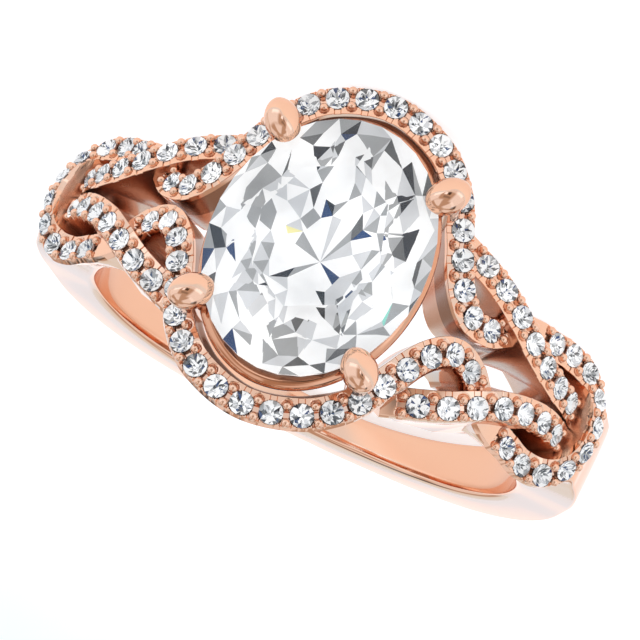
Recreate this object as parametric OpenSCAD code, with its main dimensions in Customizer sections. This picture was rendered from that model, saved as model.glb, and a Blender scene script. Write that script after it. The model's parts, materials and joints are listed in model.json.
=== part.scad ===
// Oval halo ring: a cast rose gold mounting with twisted, stone-set shoulders.
// The ring is worked out upright (finger hole along Y, centre stone on top) and then laid on its side.

/* [Band] */
// Inner diameter of the band
bore_d = 16.9; // [16.5:0.1:17.3]
// Outer diameter of the plain band
band_d = 20.7; // [20.4:0.1:21.2]
// Width of the plain band at its foot
foot_w = 1.4; // [1.3:0.1:2]
// Height of the halo's stones over the finger axis
halo_rise = 10.58; // [10.4:0.02:10.8]

/* [Ribbons] */
// Ribbon's edge from its stones' centres, on the side of the centre stone
edge_in = 0.57; // [0.54:0.01:0.6]
// Ribbon's edge from its stones' centres, on the outer side
edge_out = 0.47; // [0.46:0.01:0.5]
// Depth of the ribbon where it bridges the open head
ribbon_t = 0.95; // [0.8:0.05:1.1]

/* [Stones] */
// Diameter of a small round stone
round_d = 0.8; // [0.74:0.01:0.82]
// Length of the oval centre stone
oval_l = 8.96; // [8.8:0.02:9.1]
// Width of the oval centre stone
oval_w = 7.1; // [6.9:0.02:7.2]
// Height of the oval's girdle over the halo's stones
oval_z = 1.1; // [1:0.05:1.2]
// Clearance between a stone and its seat
seat_gap = 0.03; // [0.02:0.01:0.04]

/* [Hidden] */
gold = "#d9976f";
clear_white = "#e8edf2";
bore_r = bore_d / 2;
under = bore_r - 0.25;      // walls reach a little past the finger hole, which then cuts them
deeper = bore_r - 0.4;
fz = -halo_rise;            // height of the finger axis
spline_n = 12;              // points between two key points

// Key points of the main ribbon, one quarter: from the middle of the halo round to the loop's end.
// Columns: angle round the finger from the top, distance along the finger, radius from the finger axis
RIBBON = [
    [0, 5.57, 11.05], [10, 5.05, 11.07], [16.5, 3.98, 11.06], [20.5, 2.6, 11.05],
    [24, 1.42, 10.98], [28.5, 0.72, 10.8], [33.5, 0.76, 10.55], [37.5, 1.22, 10.42],
    [41.5, 1.7, 10.33], [45.5, 1.92, 10.29], [49.8, 2, 10.31], [55, 2.12, 10.4],
    [60.2, 1.96, 10.74], [63.1, 1.38, 11.15], [64.4, 0.48, 11.39], [64.4, -0.48, 11.39]
];

// Key points of one branch: from under the halo, over the ribbon, to the loop's inside. Same columns
BRANCH = [
    [22, 3.1, 9.85], [28.2, 2.66, 10.22], [33.1, 2.24, 10.51], [37.8, 1.71, 10.75],
    [42.5, 1.21, 10.87], [47.5, 0.87, 10.88], [52.6, 0.67, 10.88], [58, 0.62, 10.8], [61.5, 0.6, 10.65]
];

// Half width of the split band at the finger hole. Columns: angle, half width
SPLIT = [[20, 3.05], [30, 3], [40, 2.55], [50, 1.77], [58, 1.56], [90, 1.38]];

// Outer walls of the ribbons at the finger hole. Columns: angle, half width
RIBBON_FOOT = [[22, 2.9], [31, 1.4], [38, 1.28], [44, 1.95], [50, 1.62], [58, 1.41], [90, 1.23]];

// Slot between the arms at the finger hole. Columns: angle, half width
SLOT = [[37, 0], [44, 0.42], [50.5, 0.72], [58, 0.46], [61.5, 0]];

// Side of the plain band. Columns: height over the finger axis, width past the foot's on each side
BAND_SIDE = [[-12, 0], [-10.35, 0], [-10, 0.04], [-8.96, 0.16], [-5.2, 0.46], [0, 0.68], [4.9, 0.82]];

// Solid shoulder under the loop. Columns: angle, half width at the bottom, half width at the top, top radius
SHOULDER = [
    [59, 1.4, 1.6, 9.4], [60.5, 1.6, 2.2, 10.1], [62, 1.62, 2.15, 10.45], [64, 1.6, 1.95, 10.8],
    [67.3, 1.58, 1.5, 11.12], [71, 1.56, 1.48, 11], [77, 1.53, 1.5, 10.92], [84, 1.49, 1.47, 10.72],
    [91, 1.43, 1.41, 10.47], [96, 1.1, 1.1, 10.1]
];

function mirror_x(p) = [-p.x, p.y, p.z];
function mirror_y(p) = [p.x, -p.y, p.z];
function unit(v) = v / norm(v);
function mix(a, b, k) = a + (b - a) * k;
function ramp(x, a, b) = let (u = min(1, max(0, (x - a) / (b - a)))) u * u * (3 - 2 * u);
function round_finger(k) = [k[2] * sin(k[0]), k[1], fz + k[2] * cos(k[0])];
function angle_of(p) = atan2(p.x, p.z - fz);
function radius_of(p) = norm([p.x, p.z - fz]);
function outward(p) = [sin(angle_of(p)), 0, cos(angle_of(p))];
function dropped(p, r) = round_finger([angle_of(p), p.y, r]);

// Smooth curve through key points; the first and the last point only steer the ends
function lengths(c) = [for (i = 0, s = 0; i < len(c); s = s + (i + 1 < len(c) ? norm(c[i + 1] - c[i]) : 0), i = i + 1) s];
function curve(p) = let (t = lengths(p), last = len(p) - 3) [
    for (i = [1:last], j = [0:(i == last ? spline_n : spline_n - 1)])
        let (
            h = t[i + 1] - t[i], u = j / spline_n,
            ma = (p[i + 1] - p[i - 1]) / (t[i + 1] - t[i - 1]),
            mb = (p[i + 2] - p[i]) / (t[i + 2] - t[i])
        )
        (2 * pow(u, 3) - 3 * u * u + 1) * p[i] + (pow(u, 3) - 2 * u * u + u) * h * ma
            + (3 * u * u - 2 * pow(u, 3)) * p[i + 1] + (pow(u, 3) - u * u) * h * mb
];
function table_of(c) = let (s = lengths(c)) [for (a = [0:2]) [for (i = [0:len(c) - 1]) [s[i], c[i][a]]]];
function at(tab, s) = [for (a = [0:2]) lookup(s, tab[a])];

ribbon_keys = [for (k = RIBBON) round_finger(k)];
ribbon_curve = curve(concat([mirror_x(ribbon_keys[1])], [for (i = [0:14]) ribbon_keys[i]],
    [round_finger([64.55, 0, 11.42]), ribbon_keys[15]]));
ribbon_tab = table_of(ribbon_curve);
quarter = lengths(ribbon_curve)[len(ribbon_curve) - 1];
branch_keys = [for (k = BRANCH) round_finger(k)];
branch_curve = curve(concat([2 * branch_keys[0] - branch_keys[1]], branch_keys,
    [2 * branch_keys[8] - branch_keys[7]]));
branch_tab = table_of(branch_curve);
branch_len = lengths(branch_curve)[len(branch_curve) - 1];

// Point at distance s round the whole closed ribbon, four mirrored quarters
function ribbon_at(s) = let (w = s - 4 * quarter * floor(s / (4 * quarter)), q = min(3, floor(w / quarter)))
    q == 0 ? at(ribbon_tab, w)
    : q == 1 ? mirror_y(at(ribbon_tab, 2 * quarter - w))
    : q == 2 ? mirror_x(mirror_y(at(ribbon_tab, w - 2 * quarter)))
    : mirror_x(at(ribbon_tab, 4 * quarter - w));
function branch_at(s) = at(branch_tab, s);

// Frame on a strand: point, direction, normal (away from the finger) and side (towards the inside)
function frame(p, a, b) = let (t = unit(b - a), o = outward(p), n = unit(o - (o * t) * t)) [p, t, n, cross(t, n)];
function ribbon_frame(s) = frame(ribbon_at(s), ribbon_at(s - 0.12), ribbon_at(s + 0.12));
function branch_frame(s) = frame(branch_at(s), branch_at(max(0, s - 0.12)), branch_at(min(branch_len, s + 0.12)));

// Stone positions: 19 on each half of the halo, 10 on each loop and 7 on each branch.
// The ribbon carries none where it passes under a branch
halo_pitch = 0.979;
loop_pitch = 0.966;
branch_pitch = 1.013;
branch_first = 1.23;
halo_at = [for (side = [0, 1], k = [-9:9]) ribbon_frame(side * 2 * quarter + k * halo_pitch)];
loop_at = [for (side = [0, 1], k = [-4.5:4.5]) ribbon_frame((1 + side * 2) * quarter + k * loop_pitch)];
branch_stones_at = [for (k = [0:6]) branch_frame(branch_first + k * branch_pitch)];

// Distances of the sections: at each stone and midway to the next
quarter_cuts = concat([for (k = [0:0.5:9.5]) k * halo_pitch], [10.1, 10.9],
    [for (k = [-5:0.5:-0.5]) quarter + k * loop_pitch]);
cuts_n = len(quarter_cuts);
ribbon_cuts = [for (q = [0:3], i = [0:cuts_n - 1])
    q % 2 == 0 ? q * quarter + quarter_cuts[i] : (q + 1) * quarter - (i == 0 ? quarter : quarter_cuts[cuts_n - i])];
branch_cuts = concat([0], [for (k = [-0.5:0.5:6.5]) branch_first + k * branch_pitch], [branch_len]);

// Section of a strand, top edges first: inner top, outer top, outer bottom, inner bottom
function split_half(a) = lookup(a, SPLIT);
function sign_of(v) = v < 0 ? -1 : 1;
function limited(p, y) = [p.x, sign_of(p.y) * min(abs(p.y), y), p.z];
function to_slot(p, k) = [p.x, mix(p.y, sign_of(p.y) * lookup(abs(angle_of(p)), SLOT), k), p.z];
function ribbon_section(f) =
    let (
        a = abs(angle_of(f[0])), k = ramp(a, 12, 22.8),
        ti = f[0] + f[3] * edge_in, to = f[0] - f[3] * edge_out,
        bi = dropped(ti - f[3] * 0.1 * k, mix(radius_of(ti) - ribbon_t, deeper, k)),
        bo = dropped(to + f[3] * 0.36 * (1 - k), mix(radius_of(to) - ribbon_t, deeper, k)),
        lim = mix(9, lookup(abs(angle_of(bo)), RIBBON_FOOT), k)
    )
    [ti, to, limited(bo, lim), to_slot(limited(bi, lim - 0.2), ramp(a, 33, 38) * (1 - ramp(a, 50, 55)))];
function branch_section(f) =
    let (
        ti = f[0] + f[3] * edge_in, to = f[0] - f[3] * edge_out,
        bi = to_slot(dropped(ti - f[3] * 0.1, under), ramp(abs(angle_of(f[0])), 38, 44)), bo = dropped(to, under)
    )
    [ti, to, [bo.x, split_half(abs(angle_of(bo))), bo.z], bi];

// Skin of a row of equal sections, closed on itself or capped
function skin_faces(n, m, closed) = concat(
    [for (i = [0:(closed ? n - 1 : n - 2)], j = [0:m - 1])
        let (i2 = (i + 1) % n, j2 = (j + 1) % m)
        each [[i * m + j, i * m + j2, i2 * m + j2], [i * m + j, i2 * m + j2, i2 * m + j]]],
    closed ? [] : [[for (j = [m - 1:-1:0]) j], [for (j = [0:m - 1]) (n - 1) * m + j]]
);
module skin(sections, closed = false) {
    n = len(sections);
    m = len(sections[0]);
    polyhedron([for (s = sections) each s], skin_faces(n, m, closed), convexity = 8);
}

// Place children on a strand frame, their Z along its normal
module on_frame(f) {
    multmatrix([
        [f[1].x, -f[3].x, f[2].x, f[0].x],
        [f[1].y, -f[3].y, f[2].y, f[0].y],
        [f[1].z, -f[3].z, f[2].z, f[0].z]
    ]) children();
}
module four_ways() {
    for (mx = [0, 1], my = [0, 1]) mirror([mx, 0, 0]) mirror([0, my, 0]) children();
}
module two_ways() {
    for (mx = [0, 1]) mirror([mx, 0, 0]) children();
}

// Round stone, girdle at Z = 0: table, eight kites, eight stars, girdle and eight pavilion facets
module round_stone(d = round_d) {
    r = d / 2;
    rings = [
        [for (i = [0:7]) [0.56 * r * cos(45 * i + 22.5), 0.56 * r * sin(45 * i + 22.5), 0.3 * r]],
        [for (i = [0:7]) [r * cos(45 * i), r * sin(45 * i), 0.03 * r]],
        [for (i = [0:7]) [r * cos(45 * i), r * sin(45 * i), -0.03 * r]]
    ];
    faces = concat(
        [[for (i = [7:-1:0]) i]],
        [for (i = [0:7]) each [[i, (i + 1) % 8, 8 + (i + 1) % 8], [i, 8 + (i + 1) % 8, 8 + i]]],
        [for (i = [0:7]) [8 + i, 8 + (i + 1) % 8, 16 + (i + 1) % 8, 16 + i]],
        [for (i = [0:7]) [16 + i, 16 + (i + 1) % 8, 24]]
    );
    polyhedron(concat(rings[0], rings[1], rings[2], [[0, 0, -0.86 * r]]), faces, convexity = 2);
}

// Seat of a round stone, an eight-sided cone that follows its pavilion
module seat() {
    r = round_d / 2 + seat_gap;
    rotate([0, 0, 22.5]) translate([0, 0, -0.43])
        cylinder(r1 = 0.12, r2 = (2 * r - 0.12) / cos(22.5), h = 0.82, $fn = 8);
}

// Oval stone, girdle at Z = 0, with alternating crown and pavilion points round 16 directions
oval_crown = 0.95;
oval_pavilion = 2.95;
function oval_ring(even, odd, z_even, z_odd) = [for (i = [0:15])
    let (a = 22.5 * i, k = i % 2 == 0 ? even : odd, z = i % 2 == 0 ? z_even : z_odd)
    [k * oval_w / 2 * cos(a), k * oval_l / 2 * sin(a), z]];
module oval_stone() {
    rings = concat(
        oval_ring(0.58, 0.58 * cos(22.5), oval_crown, oval_crown),
        oval_ring(0.8, 0.74, 0.5 * oval_crown, 0.63 * oval_crown),
        oval_ring(1, 1, 0.05, 0.05),
        oval_ring(1, 1, -0.05, -0.05),
        oval_ring(0.62, 0.7, -0.4 * oval_pavilion, -0.3 * oval_pavilion),
        oval_ring(0.22, 0.2, -0.78 * oval_pavilion, -0.8 * oval_pavilion)
    );
    n = 16;
    faces = concat(
        [[for (i = [n - 1:-1:0]) i]],
        [for (k = [0:4], i = [0:n - 1])
            let (a = k * n + i, b = k * n + (i + 1) % n, c = a + n, d = b + n)
            each (i % 2 == 0 ? [[a, b, c], [b, d, c]] : [[a, b, d], [a, d, c]])],
        [for (i = [0:n - 1]) [5 * n + i, 5 * n + (i + 1) % n, 6 * n]]
    );
    polyhedron(concat(rings, [[0, 0, -oval_pavilion]]), faces, convexity = 2);
}

// Oval wire round the stone
module rail(w, l, z, r) {
    skin([for (i = [0:29]) let (a = 12 * i, c = [w / 2 * cos(a), l / 2 * sin(a), z],
        o = unit([cos(a) / w, sin(a) / l, 0]))
        [for (j = [0:5]) c + r * (cos(60 * j) * o + sin(60 * j) * [0, 0, 1])]], closed = true);
}

// One claw: a post beside the halo's inner wall with a domed oval tip over the stone's edge
claw_a = 47.6;
module claw() {
    rotate([0, 0, claw_a]) {
        skin([for (s = [[4.1, -2.2, 0.36], [4.26, -1, 0.42], [4.4, 0, 0.45], [4.42, 1.25, 0.47]])
            [for (j = [0:7]) [s[0] + s[2] * cos(45 * j), -s[2] * sin(45 * j), s[1]]]]);
        translate([4.35, 0, 1.33]) rotate([0, 8, 0]) scale([0.8, 0.6, 0.5]) sphere(r = 1, $fn = 12);
    }
}

// Plain band: round outside and inside, widening from the foot to the shoulders
module plain_band() {
    intersection() {
        rotate([90, 0, 0]) rotate_extrude($fn = 96)
            translate([bore_r - 0.2, -3]) square([band_d / 2 - bore_r + 0.2, 6]);
        rotate([90, 0, 90]) linear_extrude(height = 30, center = true) for (side = [-1, 1])
            polygon(concat([[0, -12]], [for (c = BAND_SIDE) [side * (foot_w / 2 + c[1]), c[0]]], [[0, 4.9]]));
    }
}

module shoulder() {
    skin([for (s = SHOULDER) [for (c = [[-1, s[2], s[3]], [-1, s[1], under - 0.3], [1, s[1], under - 0.3], [1, s[2], s[3]]])
        round_finger([s[0], -c[0] * c[1], c[2]])]]);
}

// All stone-set metal as one body, hollowed for the stones
module set_work() {
    resize([0, 0, 0]) difference() {
        union() {
            skin([for (d = ribbon_cuts) ribbon_section(ribbon_frame(d))], closed = true);
            four_ways() skin([for (d = branch_cuts) branch_section(branch_frame(d))]);
            two_ways() shoulder();
            four_ways() claw();
            rail(oval_w - 0.35, oval_l + 0.1, 0.42, 0.27);
        }
        for (f = halo_at) on_frame(f) seat();
        for (f = loop_at) on_frame(f) seat();
        four_ways() for (f = branch_stones_at) on_frame(f) seat();
        translate([0, 0, oval_z]) scale([1.016, 1.013, 1.04]) oval_stone();
    }
}

// Resting on its side, the front turned up: the halo's back edge and the foot's edge touch the surface.
// The surface is Z = 0 and the origin is under the middle of the ring
halo_edge = ribbon_section(ribbon_frame(0))[1];
foot_z = fz - band_d / 2;
lie_lean = atan2(halo_edge.y - foot_w / 2, halo_edge.z - foot_z);
lie_lift = halo_edge.y * cos(lie_lean) - halo_edge.z * sin(lie_lean);
low_y = foot_z * cos(lie_lean) - foot_w / 2 * sin(lie_lean);
high_y = (oval_z + oval_crown) * cos(lie_lean) + 0.29 * oval_l * sin(lie_lean);
module lying() {
    translate([0, -(low_y + high_y) / 2, lie_lift]) rotate([lie_lean - 90, 0, 0]) children();
}

module mounting() {
    color(gold) lying() difference() {
        union() {
            translate([0, 0, fz]) plain_band();
            set_work();
        }
        translate([0, 0, fz]) rotate([90, 0, 0]) cylinder(r = bore_r, h = 20, center = true, $fn = 96);
    }
}
module centre_stone() {
    color(clear_white) lying() translate([0, 0, oval_z]) oval_stone();
}
module halo_stones() {
    color(clear_white) lying() for (f = halo_at) on_frame(f) round_stone();
}
module loop_stones() {
    color(clear_white) lying() for (f = loop_at) on_frame(f) round_stone();
}
module branch_stones() {
    color(clear_white) lying() four_ways() for (f = branch_stones_at) on_frame(f) round_stone();
}

mounting();
centre_stone();
halo_stones();
loop_stones();
branch_stones();
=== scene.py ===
import json
import math

import bpy
import numpy as np
from mathutils import Matrix


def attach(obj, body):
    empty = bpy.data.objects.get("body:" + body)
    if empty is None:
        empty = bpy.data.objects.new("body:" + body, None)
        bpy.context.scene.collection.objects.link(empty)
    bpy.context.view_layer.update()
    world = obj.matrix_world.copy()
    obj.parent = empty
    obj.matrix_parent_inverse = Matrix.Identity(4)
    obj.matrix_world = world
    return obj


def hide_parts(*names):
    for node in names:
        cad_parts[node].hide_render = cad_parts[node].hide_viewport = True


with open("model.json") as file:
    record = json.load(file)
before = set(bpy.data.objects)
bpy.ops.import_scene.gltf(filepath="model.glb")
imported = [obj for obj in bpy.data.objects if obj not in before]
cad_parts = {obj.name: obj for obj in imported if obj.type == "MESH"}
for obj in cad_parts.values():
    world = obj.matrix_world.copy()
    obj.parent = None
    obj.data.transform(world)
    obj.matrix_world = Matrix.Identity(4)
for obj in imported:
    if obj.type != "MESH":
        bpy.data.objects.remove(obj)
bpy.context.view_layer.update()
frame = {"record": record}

# The ring's own frame, in millimetres: X across the oval stone, Y along the finger, Z up through the stone.
# Its origin is in the plane of the halo's stones, HALO_RISE over the finger hole's axis. The hole's mount
# says where that axis lies in the row's frame.
MM = 0.001
HALO_RISE = 10.58
bore = next(m for m in frame["record"]["mounts"] if m["name"] == "finger_bore")
BORE_CENTRE = np.array(bore["pos_m"])
ALONG = -np.array(bore["axis"])
ACROSS = np.array([1.0, 0.0, 0.0])
RISE = np.cross(ACROSS, ALONG)
BORE_R = bore["dims"]["r_mm"]
TO_AXIS = np.array([0, 0, HALO_RISE])


def directed(v):
    """Directions of the ring's own frame, turned into the row's frame."""
    v = np.asarray(v, float)
    return v[..., :1] * ACROSS + v[..., 1:2] * ALONG + v[..., 2:] * RISE


def placed(p):
    """Points of the ring's own frame in millimetres, as points of the row's frame in metres."""
    return BORE_CENTRE + directed(np.asarray(p, float) + TO_AXIS) * MM


# Stone-set strands. EDGE_IN and EDGE_OUT are a wall's distances from the middle line, on the inside and the
# outside of the strand's curve. The bevel of the outer edge starts at TOP_OUT, and both walls at WALL_START
# under the top. RIBBON_T is the ribbon's depth over the open head.
EDGE_IN = 0.57
EDGE_OUT = 0.47
TOP_OUT = 0.395
WALL_START = 0.2
RIBBON_T = 0.95

# Small round stones: radius of the solid, radius as drawn, and how they are spaced and counted on each strand
ROUND_R = 0.4
DRAWN_R = 0.975 * ROUND_R
HALO_PITCH = 0.979
HALO_COUNT = 19
LOOP_PITCH = 0.966
LOOP_COUNT = 10
BRANCH_PITCH = 1.013
BRANCH_COUNT = 7
BRANCH_FIRST = 1.23

# Oval stone: length, width, height of its girdle, and how far it goes above and below that
OVAL_L = 8.96
OVAL_W = 7.1
OVAL_Z = 1.1
OVAL_CROWN = 0.95
OVAL_PAVILION = 2.95

# Key points of one quarter of the ribbon. Columns: angle round the finger from the top, distance along the
# finger, radius
RIBBON = np.array([
    [0, 5.57, 11.05], [10, 5.05, 11.07], [16.5, 3.98, 11.06], [20.5, 2.6, 11.05],
    [24, 1.42, 10.98], [28.5, 0.72, 10.8], [33.5, 0.76, 10.55], [37.5, 1.22, 10.42],
    [41.5, 1.7, 10.33], [45.5, 1.92, 10.29], [49.8, 2, 10.31], [55, 2.12, 10.4],
    [60.2, 1.96, 10.74], [63.1, 1.38, 11.15], [64.4, 0.48, 11.39],
])
LOOP_END = np.array([[64.55, 0, 11.42]])

# Key points of one branch, from under the halo to the loop's inside. Same columns
BRANCH = np.array([
    [22, 3.1, 9.85], [28.2, 2.66, 10.22], [33.1, 2.24, 10.51], [37.8, 1.71, 10.75],
    [42.5, 1.21, 10.87], [47.5, 0.87, 10.88], [52.6, 0.67, 10.88], [58, 0.62, 10.8], [61.5, 0.6, 10.65],
])

# Half widths at the finger hole, of the split band, of the ribbons' outer walls and of the slot between the
# arms. Columns: angle, half width
SPLIT = np.array([[20, 3.05], [30, 3], [40, 2.55], [50, 1.77], [58, 1.56], [90, 1.38]])
RIBBON_FOOT = np.array([[22, 2.9], [31, 1.4], [38, 1.28], [44, 1.95], [50, 1.62], [58, 1.41], [90, 1.23]])
SLOT = np.array([[37, 0], [44, 0.42], [50.5, 0.72], [58, 0.46], [61.5, 0]])

# Shoulder and plain band. Columns: angle, half width at the finger hole, half width outside, outer radius
BAND = np.array([
    [59, 1.4, 1.5, 9.4], [60.5, 1.6, 2.1, 10.05], [62, 1.62, 2.1, 10.4], [64, 1.6, 1.9, 10.75],
    [67.3, 1.58, 1.52, 11.08], [71, 1.56, 1.5, 11], [77, 1.54, 1.5, 10.9], [84, 1.48, 1.46, 10.7],
    [92, 1.39, 1.38, 10.47], [105, 1.29, 1.29, 10.36], [120, 1.16, 1.16, 10.35], [135, 1.02, 1.02, 10.35],
    [150, 0.86, 0.86, 10.35], [165, 0.74, 0.74, 10.35], [180, 0.705, 0.705, 10.35],
])

MIRROR_X = np.array([-1.0, 1, 1])
MIRROR_Y = np.array([1.0, -1, 1])
# A shape that is drawn as it is, and one that is drawn with its mirror images in both planes
ONCE = (np.ones(3),)
FOUR_TIMES = tuple(np.array([mx, my, 1.0]) for mx in (1, -1) for my in (1, -1))


# Curves
CURVE_STEPS = 300


def unit(v):
    return v / np.linalg.norm(v, axis=-1, keepdims=True)


def ramp(x, a, b):
    """Smooth step from 0 at a to 1 at b: 3 u^2 - 2 u^3, with u the share of the way."""
    u = np.clip((x - a) / (b - a), 0, 1)
    return u * u * (3 - 2 * u)


def round_finger(keys):
    """Points from angle a, distance y along the finger and radius r: (r sin a, y, r cos a - rise)."""
    a = np.radians(keys[:, 0])
    return np.stack([keys[:, 2] * np.sin(a), keys[:, 1], keys[:, 2] * np.cos(a) - HALO_RISE], 1)


def angle_of(p):
    """Angle of points round the finger from the top, in degrees."""
    return np.degrees(np.arctan2(p[..., 0], p[..., 2] + HALO_RISE))


def radius_of(p):
    """Distance of points from the finger hole's axis."""
    return np.hypot(p[..., 0], p[..., 2] + HALO_RISE)


def dropped(p, r):
    """The same angle and the same place along the finger, at another radius."""
    k = r / radius_of(p)
    return np.stack([p[..., 0] * k, p[..., 1], (p[..., 2] + HALO_RISE) * k - HALO_RISE], -1)


def arc_lengths(p):
    """Distances of a path's points from its start."""
    return np.concatenate([[0], np.cumsum(np.linalg.norm(np.diff(p, axis=0), axis=1))])


def hermite(u, h, a, b, slope_a, slope_b):
    """Cubic from a to b over a stretch h, at the share u of it:
    (2 u^3 - 3 u^2 + 1) a + (u^3 - 2 u^2 + u) h a' + (3 u^2 - 2 u^3) b + (u^3 - u^2) h b'."""
    return ((2 * u**3 - 3 * u**2 + 1) * a + (u**3 - 2 * u**2 + u) * h * slope_a
            + (3 * u**2 - 2 * u**3) * b + (u**3 - u**2) * h * slope_b)


def smooth_curve(keys):
    """Close points on cubics through the key points, with knots at chord lengths. The end keys only steer."""
    t = arc_lengths(keys)
    slope = (keys[2:] - keys[:-2]) / (t[2:] - t[:-2])[:, None]
    u = np.linspace(0, 1, CURVE_STEPS, endpoint=False)[None, :, None]
    h = np.diff(t)[1:-1, None, None]
    points = hermite(u, h, keys[1:-2, None], keys[2:-1, None], slope[:-1, None], slope[1:, None])
    return np.concatenate([points.reshape(-1, 3), keys[-2:-1]])


def smooth_table(table, x):
    """Rows of a table at values x of its first column, on cubics through its rows."""
    t, v = table[:, 0], table[:, 1:]
    slope = np.gradient(v, t, axis=0)
    i = np.clip(np.searchsorted(t, x, side="right") - 1, 0, len(t) - 2)
    h = (t[i + 1] - t[i])[:, None]
    u = (x - t[i])[:, None] / h
    return np.concatenate([x[:, None], hermite(u, h, v[i], v[i + 1], slope[i], slope[i + 1])], 1)


def along(path, s):
    """Points at distances s along a path of close points."""
    t = arc_lengths(path)
    return np.stack([np.interp(s, t, path[:, i]) for i in range(3)], 1)


ribbon_keys = round_finger(RIBBON)
quarter_path = smooth_curve(np.concatenate([
    ribbon_keys[1:2] * MIRROR_X, ribbon_keys, round_finger(LOOP_END), ribbon_keys[-1:] * MIRROR_Y]))
QUARTER = arc_lengths(quarter_path)[-1]
RIBBON_LEN = 4 * QUARTER
closed_path = np.concatenate([
    quarter_path, (quarter_path * MIRROR_Y)[-2::-1],
    (quarter_path * MIRROR_X * MIRROR_Y)[1:], (quarter_path * MIRROR_X)[-2::-1]])
branch_keys = round_finger(BRANCH)
branch_path = smooth_curve(np.concatenate([
    2 * branch_keys[:1] - branch_keys[1:2], branch_keys, 2 * branch_keys[-1:] - branch_keys[-2:-1]]))
BRANCH_LEN = arc_lengths(branch_path)[-1]


def ribbon_at(s):
    """Points on the closed ribbon's middle line."""
    return along(closed_path, np.mod(s, RIBBON_LEN))


def branch_at(s, step=0.05):
    """Points on a branch's middle line. Past either end it goes straight on, as its last step does."""
    inside = np.clip(s, 0, BRANCH_LEN)
    first, second, last_but_one, last = along(branch_path, np.array([0, step, BRANCH_LEN - step, BRANCH_LEN]))
    ends = np.where((s < 0)[:, None], unit(second - first), unit(last - last_but_one))
    return along(branch_path, inside) + ends * (s - inside)[:, None]


def strand_frames(at, s, reach=0.12):
    """Point, direction t, normal n and side on a strand: n is the outward direction less its part along t,
    and the side is t cross n, which points to the inside of the strand's curve."""
    p = at(s)
    t = unit(at(s + reach) - at(s - reach))
    outward = unit((p + TO_AXIS) * np.array([1, 0, 1]))
    n = unit(outward - (outward * t).sum(1, keepdims=True) * t)
    return p, t, n, np.cross(t, n)


def centred(count):
    """Numbers one apart, with 0 in their middle."""
    return np.arange(count) - (count - 1) / 2


# Distances of the stones along each strand
halo_rows = [side * 2 * QUARTER + centred(HALO_COUNT) * HALO_PITCH for side in (0, 1)]
loop_rows = [(1 + 2 * side) * QUARTER + centred(LOOP_COUNT) * LOOP_PITCH for side in (0, 1)]
halo_s = np.concatenate(halo_rows)
loop_s = np.concatenate(loop_rows)
branch_s = BRANCH_FIRST + np.arange(BRANCH_COUNT) * BRANCH_PITCH


# Meshes
def grid_faces(rows, columns, close_rows=False, close_columns=False):
    """Quads of a grid of rows by columns of points, wrapped round where it is closed."""
    i = np.arange(rows if close_rows else rows - 1)[:, None]
    j = np.arange(columns if close_columns else columns - 1)[None, :]
    i2, j2 = (i + 1) % rows, (j + 1) % columns
    quads = np.stack([i * columns + j, i * columns + j2, i2 * columns + j2, i2 * columns + j], -1)
    return quads.reshape(-1, 4).tolist()


def capped(rows, columns):
    """Side faces of a closed section that is carried along a path, with a flat face on each end."""
    first = list(range(columns))[::-1]
    last = [(rows - 1) * columns + j for j in range(columns)]
    return grid_faces(rows, columns, close_columns=True) + [first, last]


def turned(faces):
    """The same faces, facing the other way."""
    return [face[::-1] for face in faces]


def mirrored(points, faces, by):
    """The mirror image of a surface, its faces turned so that they still point outwards."""
    return points * by, turned(faces) if np.prod(by) < 0 else faces


def joined(parts):
    """One array of points and one list of faces from several (points, faces) pairs."""
    points, faces, start = [], [], 0
    for part_points, part_faces in parts:
        points.append(part_points)
        faces.extend([[i + start for i in face] for face in part_faces])
        start += len(part_points)
    return np.concatenate(points), faces


def on_frames(shape, faces, frames, mirrors):
    """Copies of a small shape on strand frames, its X along the strand, Y to the outside and Z up, as a list
    of (points, faces) pairs."""
    p, t, n, side = frames
    copies = (p[:, None] + shape[None, :, :1] * t[:, None] - shape[None, :, 1:2] * side[:, None]
              + shape[None, :, 2:] * n[:, None])
    return [mirrored(copy, faces, by) for by in mirrors for copy in copies]


def add_piece(name, points, faces, materials, slot, replaces, smooth=True, sharp_deg=None):
    """A mesh object at the origin, on the ring's one body. Its points are in the row's frame, and none of
    them is below the floor."""
    mesh = bpy.data.meshes.new(name)
    spots = placed(points)
    spots[:, 2] = np.maximum(spots[:, 2], 0)
    mesh.from_pydata(spots.tolist(), [], faces)
    mesh.update()
    mesh.polygons.foreach_set("use_smooth", np.full(len(mesh.polygons), smooth))
    if sharp_deg is not None:
        mesh.set_sharp_from_angle(angle=math.radians(sharp_deg))
    for material in materials:
        mesh.materials.append(material)
    piece = bpy.data.objects.new(name, mesh)
    bpy.context.scene.collection.objects.link(piece)
    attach(piece, "root")
    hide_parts(replaces)
    return piece


def finished(piece, which):
    """Gives each face of a piece one of its materials, by number."""
    piece.data.polygons.foreach_set("material_index", which.astype(np.int32).ravel())


# Nodes of the materials. First the sockets of a Mix node for colours
FACTOR = 0
FIRST = 6
SECOND = 7
MIXED = 2


def spread(tree, value, start, end, low=0.0, high=1.0, smooth=False):
    """A value's stretch from start to end, brought to the stretch from low to high."""
    node = tree.nodes.new("ShaderNodeMapRange")
    node.interpolation_type = "SMOOTHSTEP" if smooth else "LINEAR"
    for socket, number in zip(("From Min", "From Max", "To Min", "To Max"), (start, end, low, high)):
        node.inputs[socket].default_value = number
    tree.links.new(value, node.inputs["Value"])
    return node.outputs["Result"]


def clouds(tree, scale, low, high, detail=2.0, start=0.0, end=1.0):
    """A value that drifts from low to high and back in soft clouds over the piece's own coordinates."""
    place = tree.nodes.new("ShaderNodeTexCoord")
    noise = tree.nodes.new("ShaderNodeTexNoise")
    noise.inputs["Scale"].default_value = scale
    noise.inputs["Detail"].default_value = detail
    tree.links.new(place.outputs["Object"], noise.inputs["Vector"])
    return spread(tree, noise.outputs["Fac"], start, end, low, high)


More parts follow.
